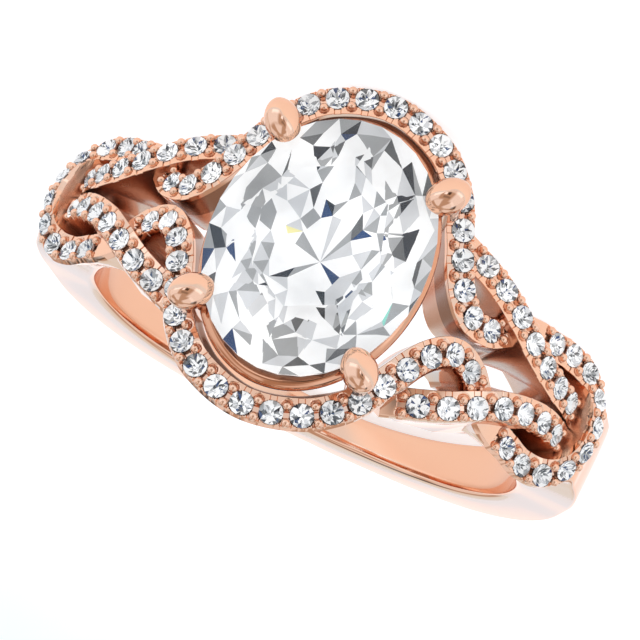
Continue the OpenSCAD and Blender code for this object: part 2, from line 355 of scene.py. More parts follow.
def mixed(tree, share, first, second):
    """The colour that goes from the first to the second as the share goes from 0 to 1."""
    node = tree.nodes.new("ShaderNodeMix")
    node.data_type = "RGBA"
    node.inputs[FIRST].default_value = (*first, 1)
    node.inputs[SECOND].default_value = (*second, 1)
    tree.links.new(share, node.inputs[FACTOR])
    return node.outputs[MIXED]


def math_node(tree, operation, *values):
    """The result of a Math node. Its values are numbers or the outputs of other nodes."""
    node = tree.nodes.new("ShaderNodeMath")
    node.operation = operation
    for socket, value in zip(node.inputs, values):
        if isinstance(value, (int, float)):
            socket.default_value = value
        else:
            tree.links.new(value, socket)
    return node.outputs[0]


def principled(name, colour, **values):
    """A material with one Principled shader, its nodes, and the shader. A socket that is linked later keeps
    its value under the link."""
    material = bpy.data.materials.new(name)
    material.use_nodes = True
    shader = material.node_tree.nodes["Principled BSDF"]
    shader.inputs["Base Color"].default_value = (*colour, 1)
    for socket, value in values.items():
        shader.inputs[socket].default_value = value
    return material, material.node_tree, shader


# Materials
def rose_gold(name, bright, shade, gloss=(0.04, 0.1)):
    """Rose gold, highly polished or satin: its roughness drifts a little between two values, and its colour
    goes to the shade colour in narrow recesses that an Ambient Occlusion node finds, a painted shade."""
    material, tree, shader = principled(name, bright, Metallic=1.0, Roughness=0.1)
    tree.links.new(clouds(tree, 900, *gloss, detail=3.0), shader.inputs["Roughness"])
    # painted shade: where the Ambient Occlusion node finds a narrow recess, the colour goes to the darker
    # shade colour
    painted_recess_shade = tree.nodes.new("ShaderNodeAmbientOcclusion")
    painted_recess_shade.samples = 4
    painted_recess_shade.inputs["Distance"].default_value = 3 * MM
    unshaded_share = spread(tree, painted_recess_shade.outputs["AO"], 0.02, 0.4, smooth=True)
    tree.links.new(mixed(tree, unshaded_share, shade, bright), shader.inputs["Base Color"])
    return material


def clear_stone(name):
    """The crown of a colourless stone, polished glass-clear with a breath of haze that varies over it."""
    glass = {"Roughness": 0.0, "IOR": 1.48, "Transmission Weight": 1.0}
    material, tree, shader = principled(name, (1, 1, 1), **glass)
    tree.links.new(clouds(tree, 700, 0.0, 0.012), shader.inputs["Roughness"])
    return material


def painted_facet_light(name, colour, dim, bright):
    """One tone of painted light on a back facet: seen from inside the stone the facet glows, a painted
    reflection of the light that it sends up through the crown, brighter and dimmer in soft clouds. From
    outside the stone the same facet is pale and smooth."""
    material, tree, shader = principled(name, colour, Roughness=0.15, **{"Emission Color": (*colour, 1)})
    # painted light: seen from inside the stone the facet glows, and its own colour is dimmed
    inside = tree.nodes.new("ShaderNodeNewGeometry").outputs["Backfacing"]
    painted_glow = clouds(tree, 500, dim, bright, start=0.3, end=0.7)
    tree.links.new(math_node(tree, "MULTIPLY", inside, painted_glow), shader.inputs["Emission Strength"])
    seen_outside = [0.35 + 0.45 * c for c in colour]
    seen_inside = [0.3 * c for c in colour]
    tree.links.new(mixed(tree, inside, seen_outside, seen_inside), shader.inputs["Base Color"])
    return material


# painted shade: each gold's second colour is the darker colour that its narrow recesses take
gold = rose_gold("polished_rose_gold", (0.81, 0.46, 0.303), (0.58, 0.43, 0.37))
# painted shade: a darker copy of the polished gold, for the ribbon's hollow and the strips under its lip
shaded_gold = rose_gold("painted_shade_rose_gold", (0.35, 0.17, 0.105), (0.25, 0.165, 0.135), (0.16, 0.24))
# painted shade: a darker copy of the polished gold, for the rail that lies in shade under the stone
rail_shaded_gold = rose_gold("gallery_shaded_rose_gold", (0.66, 0.3, 0.17), (0.32, 0.2, 0.155))
# satin and painted shade: rougher than the polished gold, which is real, and darker, a painted shade for the
# walls of the pockets past the head
satin_shaded_gold = rose_gold("satin_shaded_rose_gold", (0.7, 0.375, 0.245), (0.46, 0.31, 0.25), (0.22, 0.3))
stone_crown = clear_stone("stone_crown")
# Tones of painted light on the back facets, painted reflections glowing white, grey and dark blue, and the
# share of the facets that has each, in the oval and in the small stones
PAINTED_TONES = (
    painted_facet_light("painted_white_reflection", (1.0, 0.99, 0.98), 0.6, 0.9),
    painted_facet_light("painted_silver_reflection", (0.77, 0.77, 0.78), 0.45, 0.75),
    painted_facet_light("painted_pale_reflection", (0.48, 0.48, 0.48), 0.35, 0.65),
    painted_facet_light("painted_grey_reflection", (0.19, 0.19, 0.19), 0.1, 0.5),
    painted_facet_light("painted_night_reflection", (0.003, 0.006, 0.02), 0.0, 0.6),
    painted_facet_light("painted_navy_reflection", (0.006, 0.045, 0.17), 0.2, 0.8),
)
OVAL_SHARES = (0.54, 0.2, 0.12, 0.07, 0.035, 0.035)
ROUND_SHARES = (0.46, 0.2, 0.12, 0.1, 0.06, 0.06)
# Colours of the few small facets that flash: painted glints of coloured light
PAINTED_GLINTS = (
    painted_facet_light("painted_sea_glint", (0.3, 0.8, 0.66), 0.4, 0.8),
    painted_facet_light("painted_sun_glint", (0.95, 0.88, 0.4), 0.4, 0.9),
)


# Sections of a strand. SEAT_SECTIONS are their distances from each stone's middle, up to SEAT_REACH.
# Elsewhere they are TOP_STEP apart, and nowhere less than SECTION_GAP.
SEAT_SECTIONS = np.array([
    0, 0.05, 0.1, 0.118, 0.14, 0.185, 0.22, 0.255, 0.29, 0.325, 0.36, 0.395, 0.43, 0.46])
SEAT_REACH = 0.49
TOP_STEP = 0.04
SECTION_GAP = 0.008
# Where the closed ribbon's last section stops, before its first
RIBBON_JOINT = 0.01

# Top of a strand. Each stone has a cone for a seat. Beside it, on both sides, a shallow bar runs to the edge,
# with a fine saw cut on either side of the bar.
SEAT_R = 0.385
SEAT_DEPTH = 0.07
SEAT_CONE = 0.36
BAR_START = 0.3
BAR_HALF = 0.107
BAR_DEPTH = 0.03
CUT_AT = 0.118
CUT_HALF = 0.014
CUT_DEPTH = 0.045
# Two grains stand between each stone and the next, each in a round dip, with a channel between the two
GRAIN_IN = 0.285
GRAIN_OUT = -0.262
GRAIN_R = 0.155
DIP_OUTER = 0.215
DIP_INNER = 0.18
DIP_DEPTH = 0.05
CHANNEL_LENGTH = 0.4
CHANNEL_WIDTH = 0.22
CHANNEL_DEPTH = 0.13
# The top's edges are eased by this width and this depth, and its even columns keep this far in from them
EASE_WIDTH = 0.012
EASE_DEPTH = 0.014
EVEN_FROM = 0.045
EVEN_TO = 0.03


def section_places(stones, start, end):
    """Distances of a strand's sections: a fixed pattern about each stone, and even ones elsewhere."""
    near = (stones[:, None] + np.concatenate([-SEAT_SECTIONS, SEAT_SECTIONS])).ravel()
    every = np.arange(start, end, TOP_STEP)
    clear = np.abs(every[:, None] - stones).min(1) > SEAT_REACH
    places = np.concatenate([near, every[clear], [start, end]])
    places = np.unique(np.round(places[(places >= start) & (places <= end)], 4))
    return places[np.concatenate([[True], np.diff(places) > SECTION_GAP])]


def grain_places(stones, pitch):
    """Places midway between a row's neighbouring stones, and half a pitch past the end ones."""
    return np.concatenate([[stones[0] - pitch / 2], (stones[1:] + stones[:-1]) / 2, [stones[-1] + pitch / 2]])


def from_nearest(s, places):
    """Distance from the nearest of some places, as a column."""
    return (s - places[np.abs(s[:, None] - places).argmin(1)])[:, None]


def top_height(s, v, stones, grains):
    """Height of a strand's top at distance s and offset v. With r the distance from the stone's middle, its
    seat is the cone -0.07 - 0.36 (1 - r / R). Bars, cuts, channel and dips are steps and ramps below 0."""
    u, g, v = from_nearest(s, stones), from_nearest(s, grains), v[None, :]
    r = np.hypot(u, v)
    seat = -SEAT_DEPTH - SEAT_CONE * (1 - r / ROUND_R)
    beside = np.abs(v) > BAR_START
    h = np.where((np.abs(u) < BAR_HALF) & beside, -BAR_DEPTH, 0.0)
    h = np.where((np.abs(np.abs(u) - CUT_AT) < CUT_HALF) & beside, -CUT_DEPTH, h)
    middle = (GRAIN_IN + GRAIN_OUT) / 2
    channel = (np.abs(g) < CHANNEL_LENGTH / 2) & (np.abs(v - middle) < CHANNEL_WIDTH / 2)
    h = np.where(channel, np.minimum(h, -CHANNEL_DEPTH), h)
    from_grain = np.minimum(np.hypot(g, v - GRAIN_IN), np.hypot(g, v - GRAIN_OUT))
    h = np.minimum(h, -DIP_DEPTH * ramp(-from_grain, -DIP_OUTER, -DIP_INNER))
    return np.where(r < SEAT_R, np.minimum(h, seat), h)


def strand_surface(frames, s, stones, grains, walls):
    """Sections across a strand: its top is point + v side + height n, and then come the walls and the bottom
    that walls() gives as rows of points. Rows run along the strand, columns round the section."""
    p, _, n, side = frames
    even = np.arange(EDGE_IN - EVEN_FROM, EVEN_TO - TOP_OUT, -TOP_STEP)
    v = np.concatenate([[EDGE_IN, EDGE_IN - EASE_WIDTH], even, [EASE_WIDTH - TOP_OUT, -TOP_OUT]])
    h = top_height(s, v, stones, grains)
    h[:, [0, -1]] -= EASE_DEPTH
    top = p[:, None] + side[:, None] * v[None, :, None] + n[:, None] * h[..., None]
    return np.concatenate([top, walls(p, n, side)], 1)


def between(start, end, shares):
    """Points at some shares of the way from the start to the end."""
    return [start + (end - start) * share for share in shares]


def at_angle(table, q):
    """A table's second column at the angles of points round the finger."""
    return np.interp(np.abs(angle_of(q)), table[:, 0], table[:, 1])


def limited(q, most):
    """Points brought no further along the finger than a limit."""
    return np.stack([q[:, 0], np.sign(q[:, 1]) * np.minimum(np.abs(q[:, 1]), most), q[:, 2]], 1)


def to_slot(q, share):
    """Points moved by a share of the way to the slot's edge."""
    edge = np.where(q[:, 1] < 0, -1, 1) * at_angle(SLOT, q)
    return np.stack([q[:, 0], q[:, 1] + (edge - q[:, 1]) * share, q[:, 2]], 1)


# Walls of a strand. Angles between which the ribbon's walls come down to the finger hole, the slot between
# the arms opens in the ribbon and closes again, and it opens in the branches
HEAD_END = (12, 22.8)
SLOT_START = (33, 38)
SLOT_END = (50, 55)
BRANCH_SLOT_START = (38, 44)
# How far the inner wall leans out, and the ribbon's undercut over the head
WALL_LEAN = 0.1
UNDERCUT = 0.36
# The walls stop this far outside the finger hole, the ribbon's a little before the branches'
RIBBON_CLEAR = 0.02
BRANCH_CLEAR = 0.01
# Past the head the ribbon's walls end within its foot's half width, the inner one FOOT_WALL further in. Over
# the head the limit is FREE_WIDTH, which they never reach.
FOOT_WALL = 0.2
FREE_WIDTH = 9
# Shares of the way down a wall, and of the way across the bottom
OUTER_SHARES = (0, 0.2, 0.4, 0.6, 0.8)
BOTTOM_SHARES = (0.1, 0.5, 0.9)
BRANCH_INNER_SHARES = (0.03, 0.2, 0.4, 0.6, 0.8, 1)
# Inner wall of the ribbon over the head: a hollow, then a rounded lip that stands in towards the stone.
# Columns: share of the way down, how far it stands in
LIP = ((0, 0), (0.08, -0.05), (0.27, -0.04), (0.37, 0.03), (0.43, 0.13), (0.52, 0.19), (0.65, 0.2),
       (0.81, 0.16), (0.96, 0.05))


def ribbon_walls(p, n, side):
    """Walls of the ribbon. Over the open head it is RIBBON_T deep, with a lip inside and an undercut outside.
    Past it both walls go down to the finger hole, the inner one to the slot's edge."""
    a = np.abs(angle_of(p))
    past = ramp(a, *HEAD_END)
    down = past[:, None]
    flat_in, flat_out = p + side * EDGE_IN, p - side * EDGE_OUT
    foot = past * (BORE_R + RIBBON_CLEAR)
    r_in = (1 - past) * (radius_of(flat_in) - RIBBON_T) + foot
    r_out = (1 - past) * (radius_of(flat_out) - RIBBON_T) + foot
    low_in = dropped(flat_in - side * WALL_LEAN * down, r_in)
    low_out = dropped(flat_out + side * UNDERCUT * (1 - down), r_out)
    limit = FREE_WIDTH * (1 - past) + past * at_angle(RIBBON_FOOT, low_out)
    low_out = limited(low_out, limit)
    low_in = to_slot(limited(low_in, limit - FOOT_WALL), ramp(a, *SLOT_START) * (1 - ramp(a, *SLOT_END)))
    high_in, high_out = flat_in - n * WALL_START, flat_out - n * WALL_START
    outer = between(high_out, low_out, OUTER_SHARES + (0.96,))
    inner = [high_in + (low_in - high_in) * share + side * (stand * (1 - down)) for share, stand in LIP]
    bottom = between(low_out, low_in, BOTTOM_SHARES)
    return np.stack(outer + [low_out] + bottom + [low_in] + inner[::-1], 1)


def branch_walls(p, n, side):
    """Walls of a branch: the inner one goes down to the finger hole, the outer one flares out to the split
    band."""
    flat_in, flat_out = p + side * EDGE_IN, p - side * EDGE_OUT
    foot = BORE_R + BRANCH_CLEAR
    slot = ramp(np.abs(angle_of(p)), *BRANCH_SLOT_START)
    low_in = to_slot(dropped(flat_in - side * WALL_LEAN, foot), slot)
    low_out = dropped(flat_out, foot)
    low_out = np.stack([low_out[:, 0], at_angle(SPLIT, low_out), low_out[:, 2]], 1)
    outer = between(flat_out - n * WALL_START, low_out, OUTER_SHARES + (0.97,))
    bottom = between(low_out, low_in, BOTTOM_SHARES)
    inner = between(low_in, flat_in - n * WALL_START, BRANCH_INNER_SHARES)
    return np.stack(outer + [low_out] + bottom + [low_in] + inner, 1)


# Finish and painted shade of the strands. Numbers of the materials, the angle at which the open head ends,
# and the one as far round as which the upper strips of the inner wall take the same painted shade as the
# hollow. The second material is a darker copy of the gold, a painted shade; the third is satin and darker, a
# painted shade too
POLISHED = 0
PAINTED_SHADE = 1
SATIN_SHADED = 2
FINISH_HEAD_END = 20
PAINTED_SHADE_END = 40
STRAND_SHARP = 38


def wrapped(places):
    """Places on the closed ribbon, and the same ones a round before and a round after."""
    return np.concatenate([places - RIBBON_LEN, places, places + RIBBON_LEN])


def ribbon_piece():
    """The halo, arms and loops in one closed strand. Gives the places of its grains."""
    stones = wrapped(np.sort(np.mod(np.concatenate([halo_s, loop_s]), RIBBON_LEN)))
    grains = np.concatenate([grain_places(row, HALO_PITCH) for row in halo_rows]
                            + [grain_places(row, LOOP_PITCH) for row in loop_rows])
    grains = np.mod(grains, RIBBON_LEN)
    s = section_places(stones, 0, RIBBON_LEN - RIBBON_JOINT)
    s = s[s < RIBBON_LEN - 2 * RIBBON_JOINT]
    frames = strand_frames(ribbon_at, s)
    points = strand_surface(frames, s, stones, wrapped(grains), ribbon_walls)
    rows, columns = points.shape[:2]
    faces = turned(grid_faces(rows, columns, close_rows=True, close_columns=True))
    piece = add_piece("ribbon", points.reshape(-1, 3), faces, (gold, shaded_gold, satin_shaded_gold), "rose_gold",
                      "mounting", sharp_deg=STRAND_SHARP)
    # strips of the inner wall by number, from the top edge down: over the head 1 to 5 are the hollow, and 8
    # and 9 are under the lip's rim. These take the darker gold, a painted shade, as do the upper strips past
    # the head as far round as the angle set above; the rest of the wall past the head takes the satin gold,
    # darker too, a painted shade
    angle = np.abs(angle_of(frames[0]))[:, None]
    strip = columns - 1 - np.arange(columns)[None, :]
    hollow = ((strip >= 1) & (strip <= 5)) | (strip == 8) | (strip == 9)
    deep = (strip <= 4) & (angle < PAINTED_SHADE_END)
    wall = (strip >= 1) & (strip <= 8)
    over_head = np.where(hollow, PAINTED_SHADE, POLISHED)
    past_head = np.where(wall, np.where(deep, PAINTED_SHADE, SATIN_SHADED), POLISHED)
    finished(piece, np.where(angle < FINISH_HEAD_END, over_head, past_head))
    return grains


def branch_pieces(runs_on=0.15):
    """The four branches, each run on into the ribbon. Gives the places of the grains on one."""
    grains = grain_places(branch_s, BRANCH_PITCH)
    s = section_places(branch_s, 0.0, BRANCH_LEN + runs_on)
    points = strand_surface(strand_frames(branch_at, s), s, branch_s, grains, branch_walls)
    rows, columns = points.shape[:2]
    one = (points.reshape(-1, 3), turned(capped(rows, columns)))
    piece = add_piece("branches", *joined([mirrored(*one, by) for by in FOUR_TIMES]), (gold, satin_shaded_gold),
                      "rose_gold", "mounting", sharp_deg=STRAND_SHARP)
    # the inner wall has the second material, satin and darker, a painted shade, and the rest and the two caps
    # have the first
    inner = np.arange(columns) >= columns - len(BRANCH_INNER_SHARES)
    two_caps = [False, False]
    finished(piece, np.tile(np.concatenate([np.tile(inner, rows - 1), two_caps]), len(FOUR_TIMES)))
    return grains


# Outline of a grain, from its foot up. Columns: share of its radius, height. Then its foot under the strand's
# top, and how far its middle stands over the last ring
GRAIN_PROFILE = ((1.0, 0.0), (1.0, 0.16), (0.94, 0.2), (0.8, 0.24), (0.58, 0.272), (0.3, 0.288))
GRAIN_FOOT = -0.15
GRAIN_CAP = 0.012


def grain(segments=12):
    """A grain: a ring (k R cos a, k R sin a, z) at each (k, z) of the profile, and one point on top."""
    a = np.arange(segments) * 2 * np.pi / segments
    rings = [np.stack([GRAIN_R * k * np.cos(a), GRAIN_R * k * np.sin(a), 0 * a + (GRAIN_FOOT + z)], 1)
             for k, z in GRAIN_PROFILE]
    points = np.concatenate(rings + [np.array([[0, 0, GRAIN_FOOT + GRAIN_PROFILE[-1][1] + GRAIN_CAP]])])
    faces = grid_faces(len(rings), segments, close_columns=True)
    top = (len(rings) - 1) * segments
    faces += [[top + i, top + (i + 1) % segments, len(points) - 1] for i in range(segments)]
    faces.append(list(range(segments))[::-1])
    return points, faces


def grains_piece(ribbon_grains, branch_grains):
    """All grains: two at each place, one to the inside of the strand and one to the outside."""
    shape, faces = grain()
    parts = []
    for offset in (GRAIN_IN, GRAIN_OUT):
        moved = shape - np.array([0, offset, 0])
        parts += on_frames(moved, faces, strand_frames(ribbon_at, ribbon_grains), ONCE)
        parts += on_frames(moved, faces, strand_frames(branch_at, branch_grains), FOUR_TIMES)
    add_piece("grains", *joined(parts), (gold,), "rose_gold", "mounting", sharp_deg=50)


def band_piece(rows=150, inner=0.3, outer=0.16, inner_width=0.6, crowning=0.02):
    """Shoulders and plain band: a section with rounded corners, wider ones inside, carried round the finger
    from one loop to the other. Its widths and radius are smooth curves through the table's rows. A corner of
    radius c at turn q is c (1 - sin q) and c (1 - cos q) from its two sides."""
    half = smooth_table(BAND, np.linspace(BAND[0, 0], 180, rows))
    other = half[-2::-1] * np.array([-1, 1, 1, 1]) + np.array([360, 0, 0, 0])
    angle, wide_in, wide_out, r_out = np.concatenate([half, other]).T[:, :, None]
    quarter = np.linspace(0, np.pi / 2, 6)
    # one side of the section, then its top, its other side and its bottom, each as (width, radius) pairs
    edge = [(wide_in - inner * (1 - np.sin(q)) * inner_width, BORE_R + inner * (1 - np.cos(q)))
            for q in quarter]
    edge += [(wide_out - outer * (1 - np.cos(q)), r_out - outer * (1 - np.sin(q))) for q in quarter]
    top = [(wide_out * x, r_out + crowning * (1 - x * x)) for x in np.linspace(0.75, -0.75, 5)]
    bottom = [(wide_in * x, BORE_R) for x in (-0.5, 0, 0.5)]
    section = edge + top + [(-y, r) for y, r in edge[::-1]] + bottom
    y, r = (np.concatenate([column + 0 * angle for column in columns], 1) for columns in zip(*section))
    a = np.radians(angle)
    points = np.stack([r * np.sin(a), y, r * np.cos(a) - HALO_RISE], -1)
    add_piece("band", points.reshape(-1, 3), capped(*points.shape[:2]), (gold,), "rose_gold", "mounting",
              sharp_deg=50)


# Gallery rail: the oval that it follows, its wire's radius and its height
RAIL_L = OVAL_L + 0.1
RAIL_W = OVAL_W - 0.35
RAIL_WIRE = 0.27
RAIL_Z = 0.42


def rail_piece(rows=160, columns=14):
    """Gallery rail: a round wire carried along an oval under the stone's girdle,
    c + wire (cos w out + sin w up) with c the oval (W/2 cos u, L/2 sin u) and out its normal."""
    u = np.linspace(0, 2 * np.pi, rows, endpoint=False)[:, None]
    w = np.linspace(0, 2 * np.pi, columns, endpoint=False)[None, :, None]
    half_w, half_l = RAIL_W / 2, RAIL_L / 2
    out = unit(np.concatenate([np.cos(u) / half_w, np.sin(u) / half_l, 0 * u], 1))[:, None]
    centre = np.concatenate([half_w * np.cos(u), half_l * np.sin(u), 0 * u + RAIL_Z], 1)[:, None]
    points = centre + RAIL_WIRE * (np.cos(w) * out + np.sin(w) * np.array([0, 0, 1.0]))
    faces = turned(grid_faces(rows, columns, close_rows=True, close_columns=True))
    # the rail takes the darker gallery gold, a painted shade
    add_piece("gallery_rail", points.reshape(-1, 3), faces, (rail_shaded_gold,), "rose_gold", "mounting")


# Claws, in a frame whose X points outwards at this angle from the ring's X
CLAW_TURN = math.radians(47.6)
# The tip's half length, half width, height and ridge, how far round its dome goes in half turns, how it
# leans, and its place
TIP_LENGTH = 0.78
TIP_WIDTH = 0.6
TIP_HEIGHT = 0.48
TIP_RIDGE = 0.05
TIP_ROUND = 0.62
TIP_START = 0.001
TIP_LEAN = math.radians(-8)
TIP_AT = np.array([4.35, 0, 1.33])
# Middle line of the post. Columns: distance out, height, radius
POST = np.array([[4.1, -2.2, 0.36], [4.18, -1.5, 0.4], [4.26, -1, 0.42], [4.34, -0.4, 0.44],
                 [4.4, 0.1, 0.45], [4.42, 0.7, 0.46], [4.42, 1.25, 0.47]])


def claw_tip(rows=12, columns=28):
    """A claw's domed tip. At w down from the top and u round it: x = L sin w |cos u|^1.06 and
    y = W sin w |sin u|^1.05, each with its own sign, and z = H cos w - ridge |sin u| sin w."""
    u = np.linspace(0, 2 * np.pi, columns, endpoint=False)[None, :]
    w = np.linspace(0, 1, rows)[:, None] * np.pi * TIP_ROUND
    # the first ring is a little open, so that its points stay apart
    ring = np.sin(w + TIP_START)
    x = TIP_LENGTH * ring * (np.sign(np.cos(u)) * np.abs(np.cos(u)) ** 1.06)
    y = TIP_WIDTH * ring * np.sign(np.sin(u)) * np.abs(np.sin(u)) ** 1.05
    z = TIP_HEIGHT * np.cos(w) * (1 + 0 * u) - TIP_RIDGE * np.abs(np.sin(u)) * ring
    c, s = math.cos(TIP_LEAN), math.sin(TIP_LEAN)
    points = np.stack([x, y, z], -1).reshape(-1, 3) @ np.array([[c, 0, -s], [0, 1, 0], [s, 0, c]]) + TIP_AT
    return points, turned(capped(rows, columns))


def claw_post(columns=20):
    """A claw's post: circles of the table's radii about its middle line."""
    a = np.linspace(0, 2 * np.pi, columns, endpoint=False)[None, :]
    out, up, radius = POST.T[:, :, None]
    points = np.stack([out + radius * np.cos(a), radius * np.sin(a), up + 0 * a], -1)
    return points.reshape(-1, 3), capped(len(POST), columns)


def claw_pieces():
    """Four claws: a round post, bent in over the stone's edge, that ends in a domed tip with a soft ridge."""
    c, s = math.cos(CLAW_TURN), math.sin(CLAW_TURN)
    spin = np.array([[c, s, 0], [-s, c, 0], [0, 0, 1]])
    shapes = [(points @ spin, faces) for points, faces in (claw_tip(), claw_post())]
    parts = [mirrored(*shape, by) for by in FOUR_TIMES for shape in shapes]
    add_piece("claws", *joined(parts), (gold,), "rose_gold", "mounting", sharp_deg=60)


def brilliant():
    """A round brilliant: table, stars, kites, upper halves and girdle, then a back of three rings of narrow
    facets. Each ring of points is (k R cos a, k R sin a, z R). Gives points, crown faces and back faces."""
    a8 = np.arange(8) * np.pi / 4
    a16 = np.arange(16) * np.pi / 8

    def ring(a, k, z):
        return np.stack([k * DRAWN_R * np.cos(a), k * DRAWN_R * np.sin(a), z * DRAWN_R * np.ones(len(a))], 1)

    # the back's middle ring goes in and out, on the cone from the girdle to the culet
    middle = np.tile([0.7, 0.54], 8)
    points = np.concatenate([
        ring(a8 + np.pi / 8, 0.56, 0.3), ring(a8, 0.79, 0.17), ring(a16, 1, 0.03), ring(a16, 1, -0.03),
        ring(a16, middle, 0.83 * middle - 0.86), ring(a8, 0.27, -0.63), ring(np.zeros(1), 0, -0.86)])
    table, kite, top, low, half, inner, culet = 0, 8, 16, 32, 48, 64, 72
    crown, back = [[table + i for i in range(8)]], []
    for i in range(8):
        j, e = (i + 1) % 8, 2 * i
        e1, e2, e0 = e + 1, (e + 2) % 16, (e - 1) % 16
        crown += [
            [table + (i - 1) % 8, kite + i, table + i], [kite + i, top + e0, top + e],
            [kite + i, top + e, top + e1], [table + i, kite + i, top + e1],
            [table + i, top + e1, kite + j], [top + e, low + e, low + e1, top + e1],
            [top + e1, low + e1, low + e2, top + e2]]
        back += [
            [low + e, half + e, half + e1], [low + e, half + e1, low + e1],
            [low + e1, half + e1, low + e2], [half + e1, half + e2, low + e2],
            [half + e, inner + i, half + e1], [half + e1, inner + i, inner + j],
            [half + e1, inner + j, half + e2], [inner + i, culet, inner + j]]
    return points, crown, back


# A facet with a painted glint is smaller than this share of the middle size
GLINT_SIZE = 0.7


def give_painted_light(piece, is_back, shares, glints, seed):
    """Gives each back facet one of the tones of painted light, by chance from a fixed seed, and a few small
    ones a painted glint. The crown keeps the first material."""
    chance = np.random.default_rng(seed)
    which = 1 + chance.choice(len(PAINTED_TONES), size=len(is_back), p=shares)
    area = np.array([polygon.area for polygon in piece.data.polygons])
    small = area < GLINT_SIZE * np.median(area[is_back])
    glint = (chance.random(len(is_back)) < glints) & small
    which = np.where(glint, 1 + len(PAINTED_TONES) + chance.integers(0, len(PAINTED_GLINTS), len(is_back)), which)
    finished(piece, np.where(is_back, which, 0))


def stones_piece(name, points, faces, node, slot, is_back, shares, glints, seed):
    """One mesh of flat-faced stones for a CAD node, with a clear crown and back facets of painted light."""
    piece = add_piece(name, points, faces, (stone_crown, *PAINTED_TONES, *PAINTED_GLINTS), slot, node, smooth=False)
    give_painted_light(piece, is_back, shares, glints, seed)


def small_stones(name, frames, mirrors, node, seed):
    """One field of small round stones, in their seats along a strand."""
    shape, crown, back = brilliant()
    parts = on_frames(shape, crown + back, frames, mirrors)
    is_back = np.tile(np.repeat([False, True], [len(crown), len(back)]), len(parts))
    stones_piece(name, *joined(parts), node, "small_stones", is_back, ROUND_SHARES, glints=0.0, seed=seed)


# Oval stone's crown: its directions, and the points round its girdle
CROWN_POINTS = 16
GIRDLE_POINTS = 32
GIRDLE_HALF = 0.05
# Rings of its back. Columns: share of the girdle's radius, share of the depth, number of points
BACK_RINGS = np.array([
    [0.91, 0.09, 31], [0.79, 0.19, 29], [0.66, 0.31, 27], [0.53, 0.44, 25], [0.4, 0.58, 23], [0.27, 0.72, 19],
])
# How far chance moves a point, as shares of the step round the ring and of the girdle's radius
CHANCE_ROUND = 0.37
CHANCE_IN = 0.055


def zipped(outer, inner, outer_turn, inner_turn):
    """Triangles between two rings of points that are given by their numbers and their places round the ring
    in turns. At each step the ring whose next point comes first moves on."""
    faces, i, j, m, n = [], 0, 0, len(outer), len(inner)
    while i < m or j < n:
        next_out = outer_turn[(i + 1) % m] + (i + 1) // m
        next_in = inner_turn[(j + 1) % n] + (j + 1) // n
        if j >= n or (i < m and next_out <= next_in):
            faces.append([outer[i % m], inner[j % n], outer[(i + 1) % m]])
            i += 1
        else:
            faces.append([outer[i % m], inner[j % n], inner[(j + 1) % n]])
            j += 1
    return faces


def oval_ring(a, k, z):
    """A ring of the oval stone: (k W/2 cos a, k L/2 sin a, z)."""
    return np.stack([k * OVAL_W / 2 * np.cos(a), k * OVAL_L / 2 * np.sin(a), z * np.ones(len(a))], 1)


def oval_crown():
    """Faces of the oval's crown and girdle. Its points are numbered ring by ring: table, kites, upper girdle,
    lower girdle."""
    faces = [list(range(CROWN_POINTS))]
    girdle = 2 * CROWN_POINTS
    for i in range(CROWN_POINTS):
        p, q = i, (i + 1) % CROWN_POINTS
        r, s = p + CROWN_POINTS, q + CROWN_POINTS
        u, v, w = girdle + 2 * i, girdle + 2 * i + 1, girdle + (2 * i + 2) % GIRDLE_POINTS
        faces += [[p, r, q], [q, r, s]] if i % 2 == 0 else [[p, s, q], [p, r, s]]
        faces += [[r, u, v], [r, v, s], [s, v, w]]
        faces += [[u, u + GIRDLE_POINTS, v + GIRDLE_POINTS, v], [v, v + GIRDLE_POINTS, w + GIRDLE_POINTS, w]]
    return faces


